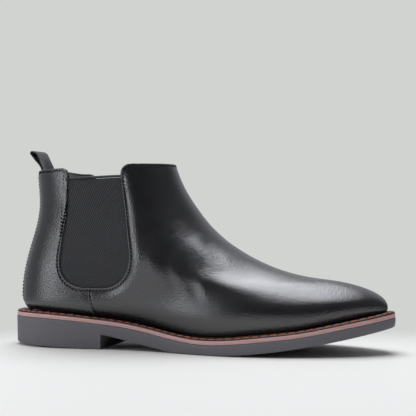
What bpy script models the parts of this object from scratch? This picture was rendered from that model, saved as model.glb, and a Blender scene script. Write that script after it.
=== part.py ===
"""A right-foot chelsea boot: welted sole unit, wholecut vamp, quarters, elastic gores and a pull loop.

+X points to the toe, -Y to the outer (lateral) side and +Z up. The origin is on the floor under the
middle of the sole's length. Lengths are written in millimetres times MM.
"""

import math

import bmesh
import bpy
import numpy as np
from mathutils import Matrix, Vector

MM = 0.001

# Driving sizes
SOLE_HALF_LENGTH = 154.3 * MM
HEEL_BREAST_X = -70.7 * MM
BREAST_STEP = 0.5 * MM
SHANK_HEIGHT = 10.7 * MM
TOE_SPRING = 20.3 * MM
TREAD_START_X = 3.0 * MM
TREAD_END_X = 25.0 * MM
HEEL_FLAT_END_X = -84.0 * MM
HEEL_LIFT = 3.2 * MM
MIDSOLE_THICKNESS = 3.0 * MM
WELT_THICKNESS = 2.6 * MM
BOARD_THICKNESS = 2.0 * MM
SOCK_THICKNESS = 1.2 * MM
PAD_THICKNESS = 2.5 * MM
GAP = 0.35 * MM
SEAM_GAP = 0.4 * MM
VAMP_TOP = 145.0 * MM
QUARTER_TOP = (140.2 * MM, 142.2 * MM)
GORE_TOP = (134.4 * MM, 136.6 * MM)
GORE_TUCK = 5.0 * MM

# Layers of the upper, as depths under the outer face
STRIP_LAYER = (1.3 * MM, 0.3 * MM)
LEATHER_LAYER = (0.0, -1.4 * MM)
MIDDLE_LAYER = (-1.75 * MM, -3.15 * MM)
LINING_LAYER = (-3.5 * MM, -4.4 * MM)

# Seen from the side: the back seam and the ridge over the foot, from the welt up
BACK_PROFILE = [(-144.3, 29.5), (-147.2, 33), (-148.6, 41), (-146.6, 59), (-141.2, 79), (-135.2, 99),
                (-133.2, 113), (-133.8, 127), (-135.4, 145)]
RIDGE_PROFILE = [(146.8, 31.5), (148.4, 34.5), (147.7, 39.2), (143, 44.2), (133.5, 48.9), (122, 52.3),
                 (110, 54.5), (92.5, 56.4), (75.3, 59.5), (57.3, 65.1), (39.3, 73.5), (21.3, 85),
                 (7.5, 97.8), (-6.2, 115.5), (-16.2, 132), (-22.5, 148)]

# Half widths on the outer side, at eight stations from heel to toe, for rings from the welt up
STATIONS = (0.03, 0.1, 0.25, 0.4, 0.55, 0.7, 0.85, 0.95)
SOLE_WIDTHS = (20, 32.5, 35, 37, 49.5, 52, 40, 23)
RING_HEIGHTS = (0, 0.04, 0.12, 0.3, 0.5, 0.75, 1)
RING_WIDTHS = [
    (16, 26, 27.5, 30, 41.5, 43, 32, 16.5),
    (18.5, 28.8, 31, 33.5, 44.5, 46.3, 35, 20),
    (19, 29.5, 32.5, 35, 43, 45.3, 33, 18),
    (18, 28, 33, 36, 40, 40, 28, 14.5),
    (15.5, 24.5, 32, 36, 38, 36, 27, 15),
    (14, 23, 31, 34, 33, 29, 21, 12),
    (12.5, 21.5, 29, 31.5, 31.5, 29, 22, 13),
]
INNER_SIDE_RATIO = (1, 1, 0.95, 0.88, 0.94, 1.03, 1.12, 1.1)

# Tread line of the sole's upper side, from heel to toe
SOLE_TOP = [(-155, 23), (-135, 22.7), (-114, 21.6), (-76, 18.8), (-50, 16.4), (-30, 13.3), (-10, 9.9),
            (12, 7.8), (36, 8.5), (60, 11), (87, 14.2), (123, 21.1), (137, 23.9), (155, 27.7)]

AROUND = 52
UP_STEPS = (0, 0.02, 0.05, 0.09, 0.14, 0.2, 0.28, 0.37, 0.47, 0.58, 0.7, 0.82, 0.92, 1)


def spline(knots, values):
    """The natural cubic curve through the values at the knots, as a function."""
    knots, values = np.array(knots, float), np.array(values, float)
    gaps = np.diff(knots)
    system, right = np.eye(len(knots)), np.zeros_like(values)
    for i in range(1, len(knots) - 1):
        system[i, i - 1:i + 2] = gaps[i - 1], 2 * (gaps[i - 1] + gaps[i]), gaps[i]
        right[i] = 6 * ((values[i + 1] - values[i]) / gaps[i] - (values[i] - values[i - 1]) / gaps[i - 1])
    bends = np.linalg.solve(system, right)

    def at(x):
        x = np.asarray(x, float)
        i = np.clip(np.searchsorted(knots, x) - 1, 0, len(knots) - 2)
        before, after, gap = (knots[i + 1] - x) / gaps[i], (x - knots[i]) / gaps[i], gaps[i]
        if values.ndim == 2:
            before, after, gap = before[..., None], after[..., None], gap[..., None]
        bent = (before ** 3 - before) * bends[i] + (after ** 3 - after) * bends[i + 1]
        return before * values[i] + after * values[i + 1] + bent * gap ** 2 / 6

    return at


def by_length(points):
    """A smooth curve through the points, as a function of the fraction of its length."""
    points = np.array(points, float) * MM
    along = np.concatenate([[0], np.cumsum(np.linalg.norm(np.diff(points, axis=0), axis=1))])
    return spline(along / along[-1], points)


def end_rounding(s):
    """Half of an ellipse over the stations 0 to 1: it closes a ring at heel and toe."""
    return 2 * np.sqrt(np.clip(s * (1 - s), 0, None))


def fullness(widths):
    """Half widths over the end rounding, one row for each station, as a function of the station."""
    rounding = end_rounding(np.array(STATIONS))
    curve = spline(STATIONS, (np.array(widths, float).T * MM / rounding).T)
    return lambda s: curve(np.clip(s, STATIONS[0], STATIONS[-1]))


back_line, ridge_line = by_length(BACK_PROFILE), by_length(RIDGE_PROFILE)
sole_fullness, feather_fullness = fullness(SOLE_WIDTHS), fullness(RING_WIDTHS[0])
ring_fullness = fullness(np.transpose(RING_WIDTHS))
ring_share = spline(RING_HEIGHTS, np.eye(len(RING_HEIGHTS)))
inner_ratio = spline(STATIONS, INNER_SIDE_RATIO)
sole_top_line = spline(*(np.array(SOLE_TOP, float) * MM).T)


def mixed(start, end, t):
    return start + (end - start) * t


def inner_side(s, height):
    """The inner side's half width over the outer side's: the arch is hollowed, the toe turned in."""
    return 1 + (inner_ratio(np.clip(s, STATIONS[0], STATIONS[-1])) - 1) * np.clip(1 - 2 * height, 0, 1)


def midsole_top(x):
    return sole_top_line(x) + GAP + MIDSOLE_THICKNESS


def welt_top(x):
    return midsole_top(x) + GAP + WELT_THICKNESS


def upper_point(angle, height):
    """A point of the outer face: angle 0 at the back seam, pi at the ridge; height 0 at the welt."""
    s = (1 - np.cos(angle)) / 2
    back, ridge = back_line(height), ridge_line(height)
    x, z = mixed(back[..., 0], ridge[..., 0], s), mixed(back[..., 1], ridge[..., 1], s)
    foot_back, foot_ridge = back_line(0), ridge_line(0)
    foot_x, foot_z = mixed(foot_back[0], foot_ridge[0], s), mixed(foot_back[1], foot_ridge[1], s)
    z = z + (welt_top(foot_x) + 1.5 * GAP - foot_z) * (1 - height) ** 6
    width = (ring_fullness(s) * ring_share(height)).sum(axis=-1) * np.abs(np.sin(angle))
    width = np.where(np.sin(angle) > 0, width, -width * inner_side(s, height))
    return np.stack([x, -width, z], axis=-1)


def upper_grid():
    """Points and outward normals of the outer face, rings from the welt up."""
    angles, heights = np.meshgrid(np.arange(AROUND) * 2 * math.pi / AROUND, UP_STEPS)
    tiny = 1e-4
    points = upper_point(angles, heights)
    around = upper_point(angles + tiny, heights) - upper_point(angles - tiny, heights)
    up = upper_point(angles, heights + tiny) - upper_point(angles, heights - tiny)
    normals = np.cross(up, around)
    return points, -normals / np.linalg.norm(normals, axis=-1, keepdims=True)


def material(name, colour, roughness, metallic=0.0):
    made = bpy.data.materials.new(name)
    made.use_nodes = True
    shader = made.node_tree.nodes["Principled BSDF"]
    shader.inputs["Base Color"].default_value = (*colour, 1)
    shader.inputs["Roughness"].default_value = roughness
    shader.inputs["Metallic"].default_value = metallic
    return made


def solid(name, vertices, faces, finish, smooth=True):
    mesh = bpy.data.meshes.new(name)
    mesh.from_pydata([tuple(map(float, v)) for v in vertices], [], faces)
    shell = bmesh.new()
    shell.from_mesh(mesh)
    bmesh.ops.recalc_face_normals(shell, faces=shell.faces)
    shell.to_mesh(mesh)
    shell.free()
    mesh.materials.append(finish)
    if smooth:
        mesh.shade_smooth()
        mesh.set_sharp_from_angle(angle=math.radians(40))
    made = bpy.data.objects.new(name, mesh)
    bpy.context.collection.objects.link(made)
    return made


def ring_faces(rings, count, closed):
    """Quads between neighbouring rings of count points; closed joins the last ring to the first."""
    faces = []
    for a in range(rings if closed else rings - 1):
        b = (a + 1) % rings
        for i in range(count):
            j = (i + 1) % count
            faces.append((a * count + i, a * count + j, b * count + j, b * count + i))
    return faces


grid_points, grid_normals = upper_grid()


def shell(name, layer, finish):
    """A closed wall all round the foot between two depths under the upper's outer face."""
    outer, inner = grid_points + grid_normals * layer[0], grid_points + grid_normals * layer[1]
    rings = np.concatenate([outer, inner[::-1]])
    return solid(name, rings.reshape(-1, 3), ring_faces(len(rings), AROUND, True), finish)


def rounded(corners, steps=6):
    """An outline of (x, z) corners in mm, each with the radius that rounds it."""
    outline = []
    for i, (x, z, radius) in enumerate(corners):
        here = np.array((x, z), float)
        before, after = (np.array(corners[j][:2], float) - here for j in (i - 1, (i + 1) % len(corners)))
        before, after = before / np.linalg.norm(before), after / np.linalg.norm(after)
        half = math.acos(np.clip(before @ after, -1, 1)) / 2
        if radius == 0:
            outline.append(here * MM)
            continue
        middle = here + (before + after) / np.linalg.norm(before + after) * radius / math.sin(half)
        reach = radius / math.tan(half)
        start, end = here + before * reach - middle, here + after * reach - middle
        turn = math.acos(np.clip(start @ end / radius ** 2, -1, 1))
        for k in range(steps + 1):
            t = k / steps
            arm = (math.sin((1 - t) * turn) * start + math.sin(t * turn) * end) / math.sin(turn)
            outline.append((middle + arm) * MM)
    return outline


def prism(name, outline, low_y, high_y):
    """A cutter: the side-view outline made solid from low_y to high_y."""
    count = len(outline)
    vertices = [(x, y, z) for y in (low_y, high_y) for x, z in outline]
    faces = [tuple(range(count)), tuple(range(2 * count - 1, count - 1, -1))]
    faces += [(i, (i + 1) % count, count + (i + 1) % count, count + i) for i in range(count)]
    made = solid(name, vertices, faces, cutter_finish, smooth=False)
    made.hide_render = True
    made.display_type = "WIRE"
    return made


def cut(piece, cutter, operation):
    boolean = piece.modifiers.new(cutter.name, "BOOLEAN")
    boolean.operation = operation
    boolean.object = cutter
    boolean.solver = "EXACT"
    return piece


def sole_stations(extra=()):
    angles = np.linspace(0, math.pi, AROUND // 2 + 1)
    return np.array(sorted([*((1 - np.cos(angles)) / 2), *extra]))


def plan(full, start_x, end_x, inset, stations):
    """A closed outline seen from above: heel tip, outer side, toe tip, inner side; moved in by inset."""
    x = mixed(start_x, end_x, stations)
    half = full(stations) * end_rounding(stations)
    outer = np.stack([x, -half], axis=-1)
    inner = np.stack([x, half * inner_side(stations, 0)], axis=-1)
    loop = np.concatenate([outer, inner[-2:0:-1]])
    tangent = np.roll(loop, -1, axis=0) - np.roll(loop, 1, axis=0)
    normal = np.stack([-tangent[:, 1], tangent[:, 0]], axis=-1)
    return loop + normal / np.linalg.norm(normal, axis=-1, keepdims=True) * inset


def sole_plan(inset, stations=None):
    stations = sole_stations() if stations is None else stations
    return plan(sole_fullness, -SOLE_HALF_LENGTH, SOLE_HALF_LENGTH, inset, stations)


def foot_plan(inset):
    return plan(feather_fullness, back_line(0)[0], ridge_line(0)[0], inset, sole_stations())


def slab(name, loop, low, high, finish):
    """A layer of the sole: the plan made solid between two heights that follow x."""
    count = len(loop)
    last = count // 2
    vertices = [(x, y, height(x)) for height in (low, high) for x, y in loop]
    faces = ring_faces(2, count, False)
    for base in (0, count):
        for i in range(last):
            a, b = base + i, base + i + 1
            c, d = base + (count - i - 1) % count, base + (count - i) % count
            faces.append([a, b, c] if i == 0 else [a, b, d] if i == last - 1 else [a, b, c, d])
    return solid(name, vertices, faces, finish)


def band(name, outer, inner, low, high, finish):
    """A flat ring between two plans and two heights that follow x."""
    loops = ((outer, low), (outer, high), (inner, high), (inner, low))
    vertices = [(x, y, height(x)) for loop, height in loops for x, y in loop]
    return solid(name, vertices, ring_faces(4, len(outer), True), finish)


def above(line, height):
    return lambda x: line(x) + height


def sole_bottom(x):
    """The tread: heel flat in front and lifting to the rear, raised shank, flat ball, toe spring."""
    if x <= HEEL_BREAST_X:
        return HEEL_LIFT * max(0.0, (HEEL_FLAT_END_X - x) / (HEEL_FLAT_END_X + SOLE_HALF_LENGTH))
    if x <= TREAD_START_X:
        shank_end = -60 * MM
        t = np.clip((x - shank_end) / (TREAD_START_X - shank_end), 0, 1)
        return SHANK_HEIGHT * (1 + math.cos(math.pi * t)) / 2
    if x <= TREAD_END_X:
        return 0.0
    return TOE_SPRING * ((x - TREAD_END_X) / (SOLE_HALF_LENGTH - TREAD_END_X)) ** 1.6


for old in list(bpy.data.objects):
    bpy.data.objects.remove(old, do_unlink=True)

cutter_finish = material("cutter", (0.8, 0.2, 0.2), 0.5)
black_leather = material("black_leather", (0.035, 0.036, 0.04), 0.38)
elastic = material("elastic", (0.03, 0.031, 0.037), 0.8)
rubber = material("rubber", (0.09, 0.09, 0.1), 0.7)
edge_leather = material("edge_leather", (0.32, 0.2, 0.19), 0.6)
welt_leather = material("welt_leather", (0.05, 0.045, 0.045), 0.55)
thread = material("thread", (0.38, 0.1, 0.03), 0.7)
lining_leather = material("lining_leather", (0.22, 0.22, 0.23), 0.7)
fibreboard = material("fibreboard", (0.35, 0.22, 0.12), 0.8)
cork = material("cork", (0.4, 0.25, 0.13), 0.9)
steel = material("steel", (0.5, 0.5, 0.52), 0.35, 1.0)
webbing = material("webbing", (0.05, 0.05, 0.055), 0.75)
foam = material("foam", (0.2, 0.19, 0.18), 0.85)

# Sole unit ---------------------------------------------------------------------------------------

PAST, OVER, UNDER = 250, 145, -5
BESIDE = 80 * MM


def lengthwise(low_x, high_x, low_z=UNDER, high_z=OVER):
    """A plain outline in mm, from low_x to high_x."""
    return rounded([(low_x, low_z, 0), (high_x, low_z, 0), (high_x, high_z, 0), (low_x, high_z, 0)])


breast_places = (HEEL_FLAT_END_X, HEEL_BREAST_X, HEEL_BREAST_X + BREAST_STEP, TREAD_START_X, TREAD_END_X)
breast_stations = [(x + SOLE_HALF_LENGTH) / (2 * SOLE_HALF_LENGTH) for x in breast_places]
outsole = slab("outsole", sole_plan(0, sole_stations(breast_stations)), sole_bottom, sole_top_line, rubber)

MIDSOLE_INSET = 0.3 * MM
midsole = slab("midsole", sole_plan(MIDSOLE_INSET), above(sole_top_line, GAP), midsole_top, edge_leather)

WELT_EDGE, WELT_WIDTH = 1.2 * MM, 8.6 * MM
welt = band("welt", sole_plan(WELT_EDGE), sole_plan(WELT_EDGE + WELT_WIDTH),
            above(midsole_top, GAP), welt_top, welt_leather)

THREAD_INSET, THREAD_WIDTH, THREAD_HEIGHT = 2.9 * MM, 1.4 * MM, 0.6 * MM
welt_thread = band("welt_thread", sole_plan(THREAD_INSET), sole_plan(THREAD_INSET + THREAD_WIDTH),
                   above(welt_top, GAP), above(welt_top, GAP + THREAD_HEIGHT), thread)

# Insets from the lining's inner face
BOARD_INSET, SOCK_INSET, PAD_INSET = 0.8 * MM, 2.2 * MM, 3.6 * MM
PAD_FRONT_X = -78.0
inside = -LINING_LAYER[1]
board_base = 2 * GAP
sock_base = board_base + BOARD_THICKNESS + GAP
pad_base = sock_base + SOCK_THICKNESS + GAP
insole_board = slab("insole_board", foot_plan(inside + BOARD_INSET), above(welt_top, board_base),
                    above(welt_top, board_base + BOARD_THICKNESS), fibreboard)
sock_liner = slab("sock_liner", foot_plan(inside + SOCK_INSET), above(welt_top, sock_base),
                  above(welt_top, sock_base + SOCK_THICKNESS), lining_leather)
heel_pad = slab("heel_pad", foot_plan(inside + PAD_INSET), above(welt_top, pad_base),
                above(welt_top, pad_base + PAD_THICKNESS), foam)
cut(heel_pad, prism("heel_pad_cut", lengthwise(-PAST, PAD_FRONT_X), -BESIDE, BESIDE), "INTERSECT")

FILLER_REAR_X, FILLER_CLEARANCE = -2.0, 0.5 * MM
filler = slab("cork_filler", sole_plan(WELT_EDGE + WELT_WIDTH + FILLER_CLEARANCE),
              above(midsole_top, GAP), welt_top, cork)
cut(filler, prism("filler_cut", lengthwise(FILLER_REAR_X, PAST), -BESIDE, BESIDE), "INTERSECT")

SHANK_X, SHANK_HALF_WIDTH, SHANK_THICKNESS = (-112.0 * MM, -8.0 * MM), 7.5 * MM, 1.6 * MM
shank_points = np.linspace(*SHANK_X, 9)
shank_loop = [(x, -SHANK_HALF_WIDTH) for x in shank_points]
shank_loop += [(x, SHANK_HALF_WIDTH) for x in shank_points[::-1]]
shank_vertices = [(x, y, midsole_top(x) + lift)
                  for lift in (GAP, GAP + SHANK_THICKNESS) for x, y in shank_loop]
around_shank = len(shank_loop)
shank_faces = ring_faces(2, around_shank, False)
for base in (0, around_shank):
    shank_faces += [(base + i, base + i + 1, base + around_shank - 2 - i, base + around_shank - 1 - i)
                    for i in range(len(shank_points) - 1)]
shank = solid("shank", shank_vertices, shank_faces, steel)

NAIL_RADIUS, NAIL_LENGTH, NAIL_SIDES = 1.1 * MM, 17.0 * MM, 12
HOLE_TOP_CLEARANCE = 6 * GAP
NAIL_PLACES = [(-100, -19), (-122, -15), (-131, 0), (-122, 15), (-100, 19)]
nail_angles = np.arange(NAIL_SIDES) * 2 * math.pi / NAIL_SIDES
for number, (nail_x, nail_y) in enumerate(NAIL_PLACES, 1):
    top = welt_top(nail_x * MM) + board_base + BOARD_THICKNESS
    for kind, radius, below, over in (("nail", NAIL_RADIUS, 0.0, 0.0),
                                      ("hole", NAIL_RADIUS + GAP, GAP, HOLE_TOP_CLEARANCE)):
        rod_points = [(nail_x * MM + radius * math.cos(a), nail_y * MM + radius * math.sin(a), z)
                      for z in (top - NAIL_LENGTH - below, top + over) for a in nail_angles]
        caps = [tuple(range(NAIL_SIDES)), tuple(range(2 * NAIL_SIDES - 1, NAIL_SIDES - 1, -1))]
        rod = solid(f"heel_{kind}_{number}", rod_points, ring_faces(2, NAIL_SIDES, False) + caps, steel)
    rod.hide_render = True
    rod.display_type = "WIRE"
    for layer in (insole_board, midsole, outsole):
        cut(layer, rod, "DIFFERENCE")

# Upper -------------------------------------------------------------------------------------------

# Seams and edges seen from the side, as (x, z, radius) corners in mm
GORE_REAR = [(-106.6, 70, 25), (-106.4, 47.6, 15)]
GORE_FRONT = [(-45.3, 47.6, 18), (-45.8, 78, 25)]
SIDE_SEAM = [(-81.5, 47.6), (-81, 43), (-77.5, UNDER)]
VAMP_CORNER = (-56, VAMP_TOP / MM, 6)
QUARTER_CORNER_X, QUARTER_CORNER_RADIUS = -99.2, 4.5
BACK_TOP_DROP = 6

quarter_rear_top, quarter_front_top = np.array(QUARTER_TOP) / MM
vamp_outline = rounded([VAMP_CORNER, (PAST, VAMP_TOP / MM, 0), (PAST, UNDER, 0),
                        *[(x, z, 0) for x, z in SIDE_SEAM[::-1]], *GORE_FRONT])
quarter_outline = rounded([(-PAST, quarter_rear_top - BACK_TOP_DROP, 0),
                           (QUARTER_CORNER_X, quarter_front_top, QUARTER_CORNER_RADIUS), *GORE_REAR,
                           *[(x - SEAM_GAP / MM, z, 0) for x, z in SIDE_SEAM], (-PAST, UNDER, 0)])

vamp = cut(shell("vamp", LEATHER_LAYER, black_leather),
           prism("vamp_outline", vamp_outline, -BESIDE, BESIDE), "INTERSECT")
for name, low_y, high_y in (("lateral", -BESIDE, -SEAM_GAP / 2), ("medial", SEAM_GAP / 2, BESIDE)):
    cut(shell(f"quarter_{name}", LEATHER_LAYER, black_leather),
        prism(f"quarter_{name}_outline", quarter_outline, low_y, high_y), "INTERSECT")

STRIP_HALF_WIDTH, STRIP_FOOT_Z, STRIP_FRONT_X = 5.0 * MM, 34, -110
strip_outline = lengthwise(-PAST, STRIP_FRONT_X, STRIP_FOOT_Z, quarter_rear_top)
cut(shell("back_strip", STRIP_LAYER, black_leather),
    prism("strip_outline", strip_outline, -STRIP_HALF_WIDTH, STRIP_HALF_WIDTH), "INTERSECT")

BINDING_HEIGHT, BINDING_LEAN = 2.0, 0.2
GORE_TOP_X, GORE_FOOT_Z = (-103, -50.4), 60
tuck = GORE_TUCK / MM
binding_tops = np.array(GORE_TOP) / MM
binding_feet = binding_tops - BINDING_HEIGHT
gore_tops = binding_feet - GAP / MM


def tucked(corners, forward):
    """Gore corners moved out under the leather; those at its foot also move down."""
    return [(x + forward * tuck, z - (tuck if z < GORE_FOOT_Z else 0), r + tuck) for x, z, r in corners]


gore_outline = rounded([(GORE_TOP_X[0], gore_tops[0], 0), *tucked(GORE_REAR, -1), *tucked(GORE_FRONT, 1),
                        (GORE_TOP_X[1], gore_tops[1], 0)])
binding_outline = rounded([(GORE_TOP_X[0], binding_feet[0], 0), (GORE_TOP_X[1], binding_feet[1], 0),
                           (GORE_TOP_X[1] + BINDING_LEAN, binding_tops[1], 0),
                           (GORE_TOP_X[0] - BINDING_LEAN, binding_tops[0], 0)])
for name, low_y, high_y in (("lateral", -BESIDE, 0), ("medial", 0, BESIDE)):
    cut(shell(f"gore_{name}", MIDDLE_LAYER, elastic),
        prism(f"gore_{name}_outline", gore_outline, low_y, high_y), "INTERSECT")
    cut(shell(f"gore_binding_{name}", MIDDLE_LAYER, webbing),
        prism(f"gore_binding_{name}_outline", binding_outline, low_y, high_y), "INTERSECT")

PUFF_REAR_X, PUFF_TOP_REAR_X = 91, 103
puff_outline = rounded([(PUFF_REAR_X, UNDER, 0), (PAST, UNDER, 0), (PAST, OVER, 0),
                        (PUFF_TOP_REAR_X, OVER, 0)])
counter_outline = rounded([(-PAST, UNDER, 0), (-84, UNDER, 0), (-88, 37, 6), (-115, 39, 20),
                           (-121, 84, 20), (-PAST, 94, 0)])
for name, layer, outline, finish in (
        ("vamp_lining", LINING_LAYER, vamp_outline, lining_leather),
        ("quarter_lining", LINING_LAYER, quarter_outline, lining_leather),
        ("toe_puff", MIDDLE_LAYER, puff_outline, fibreboard),
        ("heel_counter", MIDDLE_LAYER, counter_outline, fibreboard)):
    cut(shell(name, layer, finish), prism(f"{name}_outline", outline, -BESIDE, BESIDE), "INTERSECT")

# Pull loop ---------------------------------------------------------------------------------------

STRAP_HALF_WIDTH, STRAP_THICKNESS = 11.5 * MM, 1.4 * MM
HINGE = np.array((-132.6, 142.9)) * MM
LOOP_CENTRE = np.array((-136.3, 152.5)) * MM
BASE_RADIUS, LOOP_RADIUS, EYE_FOOT_RADIUS = 1.6 * MM, 4.4 * MM, 0.4 * MM
EYE_START = 0.45
ANCHOR_FOOT_Z, ANCHOR_TOP_DROP = 112, 0.4


def belt(low, low_radius, high, high_radius, count=16):
    """The outline of a belt laid round two circles."""
    span = np.linalg.norm(high - low)
    lean = math.atan2(*(high - low)[::-1])
    spread = math.acos((high_radius - low_radius) / span)
    low_arc = (low, low_radius, spread - math.pi, -math.pi - spread)
    points = []
    for centre, radius, first, last in ((high, high_radius, math.pi - spread, spread - math.pi), low_arc):
        for k in range(count):
            angle = lean + mixed(first, last, k / (count - 1))
            points.append(centre + radius * np.array((math.cos(angle), math.sin(angle))))
    return points


outer_belt = belt(HINGE, BASE_RADIUS, LOOP_CENTRE, LOOP_RADIUS)
inner_belt = belt(mixed(HINGE, LOOP_CENTRE, EYE_START), EYE_FOOT_RADIUS,
                  LOOP_CENTRE, LOOP_RADIUS - STRAP_THICKNESS)
loop_rings = [(outer_belt, -1), (outer_belt, 1), (inner_belt, 1), (inner_belt, -1)]
loop_vertices = [(x, sign * STRAP_HALF_WIDTH, z) for points, sign in loop_rings for x, z in points]
pull_loop = solid("pull_loop", loop_vertices, ring_faces(4, len(outer_belt), True), webbing)
hinge_place = Vector((HINGE[0], 0, HINGE[1]))
pull_loop.data.transform(Matrix.Translation(-hinge_place))
pull_loop.location = hinge_place

anchor_outline = lengthwise(-PAST, STRIP_FRONT_X, ANCHOR_FOOT_Z, quarter_rear_top - ANCHOR_TOP_DROP)
cut(shell("pull_loop_anchor", MIDDLE_LAYER, webbing),
    prism("anchor_outline", anchor_outline, -STRAP_HALF_WIDTH, STRAP_HALF_WIDTH), "INTERSECT")
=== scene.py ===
"""A right-foot chelsea boot of black leather, built up from the rubber sole to the pull loop.

+X points to the toe, -Y to the outer side of the foot and +Z up; the origin is on the floor.
"""

import math

import bpy
import numpy as np
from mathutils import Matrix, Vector, kdtree, noise


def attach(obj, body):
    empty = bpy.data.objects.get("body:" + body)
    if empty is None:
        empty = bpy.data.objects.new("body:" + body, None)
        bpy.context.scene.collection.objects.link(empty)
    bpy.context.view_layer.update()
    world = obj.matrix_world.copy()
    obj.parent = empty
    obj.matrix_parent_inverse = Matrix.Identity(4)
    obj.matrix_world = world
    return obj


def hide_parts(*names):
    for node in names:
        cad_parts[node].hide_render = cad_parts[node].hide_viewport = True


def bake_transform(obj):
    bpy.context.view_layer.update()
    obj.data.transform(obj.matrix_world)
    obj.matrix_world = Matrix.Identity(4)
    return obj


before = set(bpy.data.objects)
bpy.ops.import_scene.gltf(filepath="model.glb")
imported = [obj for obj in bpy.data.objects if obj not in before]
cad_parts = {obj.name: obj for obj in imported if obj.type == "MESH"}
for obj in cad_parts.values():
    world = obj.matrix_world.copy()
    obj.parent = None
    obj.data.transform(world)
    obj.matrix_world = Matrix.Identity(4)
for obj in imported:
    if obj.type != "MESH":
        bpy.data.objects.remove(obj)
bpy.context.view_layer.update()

# Outsole --------------------------------------------------------------
# One moulding of dark grey rubber: heel, raised shank, forepart and lifted toe. Its side wall is
# fine-pebbled and its lower edge is a little rounded. It is cemented under the midsole.

MM = 0.001
# Shares of the length, and the half widths there: the outer side's in mm, and the inner side's as a
# ratio to it. The top is (x, z) in mm. Behind x = 0 the sole has its breast, shank and heel.
STATIONS = (0.03, 0.1, 0.25, 0.4, 0.55, 0.7, 0.85, 0.95)
SOLE_WIDTHS = (20, 32.5, 35, 37, 49.5, 52, 40, 23)
INNER_SIDE_RATIO = (1, 1, 0.95, 0.88, 0.94, 1.03, 1.12, 1.1)
SOLE_TOP = [(-155, 23.2), (-135, 23.3), (-114, 22.9), (-76, 20), (-50, 17.1), (-30, 13.7),
            (-10, 10.1), (12, 7.8), (36, 8.5), (60, 11), (87, 14.2), (123, 21.1), (137, 23.9),
            (155, 27.7)]
SOLE_END = 154.3 * MM
BREAST_X, BREAST_STEPS = -70.7 * MM, (-0.1 * MM, 0, 0.5 * MM, 1.2 * MM)
HEEL_FLAT_END_X, HEEL_LIFT = -84 * MM, 1.8 * MM
SHANK_START_X, SHANK_END_X, SHANK_RISE, SHANK_CURVE = -68 * MM, -10 * MM, 11.2 * MM, 1.1
TREAD_X, TOE_SPRING, TOE_CURVE = (3 * MM, 25 * MM), 20.3 * MM, 1.6
ARCH_DROP, ARCH_DROP_WIDTH, ARCH_DROP_START = 0.93, 25 * MM, 0.3


def mixed(start, end, t):
    """What lies a share t of the way from start to end."""
    return start + (end - start) * t


def spline(knots, values):
    """The natural cubic curve through the values at the knots, as a function."""
    knots, values = np.array(knots, float), np.array(values, float)
    gaps = np.diff(knots)
    system, right = np.eye(len(knots)), np.zeros_like(values)
    for i in range(1, len(knots) - 1):
        system[i, i - 1:i + 2] = gaps[i - 1], 2 * (gaps[i - 1] + gaps[i]), gaps[i]
        right[i] = 6 * ((values[i + 1] - values[i]) / gaps[i]
                        - (values[i] - values[i - 1]) / gaps[i - 1])
    bends = np.linalg.solve(system, right)

    def at(x):
        x = np.asarray(x, float)
        i = np.clip(np.searchsorted(knots, x) - 1, 0, len(knots) - 2)
        before, after, gap = (knots[i + 1] - x) / gaps[i], (x - knots[i]) / gaps[i], gaps[i]
        if values.ndim == 2:
            before, after, gap = before[..., None], after[..., None], gap[..., None]
        bent = (before ** 3 - before) * bends[i] + (after ** 3 - after) * bends[i + 1]
        return before * values[i] + after * values[i + 1] + bent * gap ** 2 / 6

    return at


def end_rounding(s):
    """Half of an ellipse over the stations 0 to 1, which closes a ring at heel and toe."""
    return 2 * np.sqrt(np.clip(s * (1 - s), 0, None))


def fullness(widths):
    """Half widths at the stations over the end rounding, as a function of the station."""
    stations, widths = np.array(STATIONS), np.array(widths, float) * MM
    rounding = end_rounding(stations)
    curve = spline(stations, widths / (rounding if widths.ndim == 1 else rounding[:, None]))
    return lambda s: curve(np.clip(s, STATIONS[0], STATIONS[-1]))


inner_ratio = spline(STATIONS, INNER_SIDE_RATIO)
sole_fullness = fullness(SOLE_WIDTHS)
sole_top = spline(*(np.array(SOLE_TOP, float) * MM).T)


def inner_side(s, height):
    """The inner side's half width over the outer side's, which evens out by mid height."""
    ratio = inner_ratio(np.clip(s, STATIONS[0], STATIONS[-1]))
    return 1 + (ratio - 1) * np.clip(1 - 2 * height, 0, 1)


def sole_bottom(x):
    """Height of the tread: flat heel lifting to the rear, raised shank, flat ball, toe spring."""
    heel = HEEL_LIFT * np.clip((HEEL_FLAT_END_X - x) / (HEEL_FLAT_END_X + SOLE_END), 0, None)
    shank = np.clip((SHANK_END_X - x) / (SHANK_END_X - SHANK_START_X), 0, 1) ** SHANK_CURVE * SHANK_RISE
    toe = TOE_SPRING * np.clip((x - TREAD_X[1]) / (SOLE_END - TREAD_X[1]), 0, None) ** TOE_CURVE
    return np.where(x <= BREAST_X, heel, np.where(x <= TREAD_X[0], shank, toe))


def stations_along(count, extra_x=()):
    """Stations packed closer towards both ends, and those of the extra x."""
    even = (1 - np.cos(np.linspace(0, math.pi, count))) / 2
    return np.array(sorted([*even, *((np.array(extra_x) + SOLE_END) / (2 * SOLE_END))]))


def plan(full, start_x, end_x, stations):
    """A closed outline seen from above, and its inward directions: outer side first, then inner."""
    x, half = mixed(start_x, end_x, stations), full(stations) * end_rounding(stations)
    inner_half = half * inner_side(stations, 0)
    loop = np.concatenate([np.stack([x, -half], -1), np.stack([x, inner_half], -1)[-2:0:-1]])
    tangent = np.roll(loop, -1, axis=0) - np.roll(loop, 1, axis=0)
    inward = np.stack([-tangent[:, 1], tangent[:, 0]], -1)
    return loop, inward / np.linalg.norm(inward, axis=-1, keepdims=True)


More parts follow.
